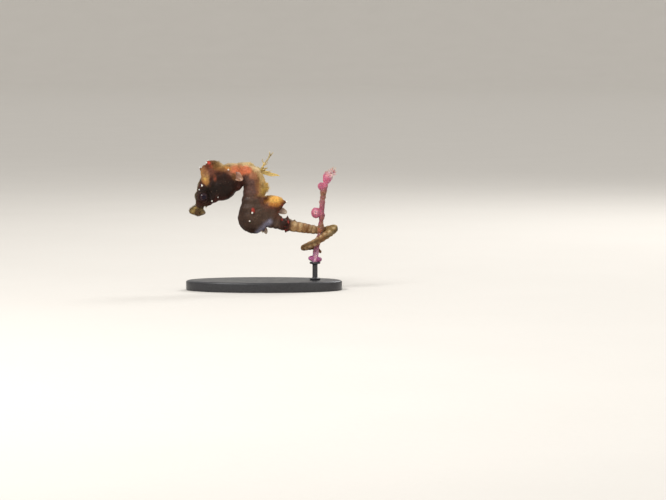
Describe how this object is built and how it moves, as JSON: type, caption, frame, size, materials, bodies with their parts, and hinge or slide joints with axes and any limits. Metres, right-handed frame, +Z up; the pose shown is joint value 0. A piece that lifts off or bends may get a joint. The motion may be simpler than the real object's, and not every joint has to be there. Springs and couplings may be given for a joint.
{
  "type": "pygmy seahorse model on a stand",
  "caption": "Life-size brown and golden pygmy seahorse, head bowed, its tail wound round a pink alga stem on a small oval display stand.",
  "frame": {"origin": "centre of the underside of the stand's base, which is the middle of the bounding box at its bottom", "axes": "+Z up; the seahorse faces -X and its left side is towards -Y; the stem that its tail holds stands at +X"},
  "size_m": [0.0078, 0.0038, 0.007],
  "materials": {
    "dark_skin": "moist fish skin, very dark red-brown with pale specks",
    "brown_skin": "moist fish skin, brown with golden back",
    "tan_skin": "moist fish skin, tan",
    "tail_skin": "moist fish skin, golden tan with brown bands",
    "fin": "thin translucent web between rays",
    "thread": "soft golden skin filament",
    "eye": "wet and glossy",
    "alga": "chalky pink coralline alga",
    "stand": "satin black"
  },
  "bodies": {
    "root": {"head": "dark_skin", "coronet": "dark_skin", "snout": "tan_skin", "neck": "brown_skin", "trunk": "brown_skin", "tail_base": "tail_skin", "tail_middle": "tail_skin", "tail_coil_upper": "tail_skin", "tail_coil_lower": "tail_skin", "tail_tip": "tail_skin", "pectoral_fin_left": "fin", "pectoral_fin_right": "fin", "dorsal_fin": "fin", "anal_fin": "fin", "nape_thread": "thread", "nape_flap": "thread", "eye_left": "eye", "eye_right": "eye", "perch": "alga", "stand_base": "stand", "stand_rod": "stand"}
  },
  "joints": []
}
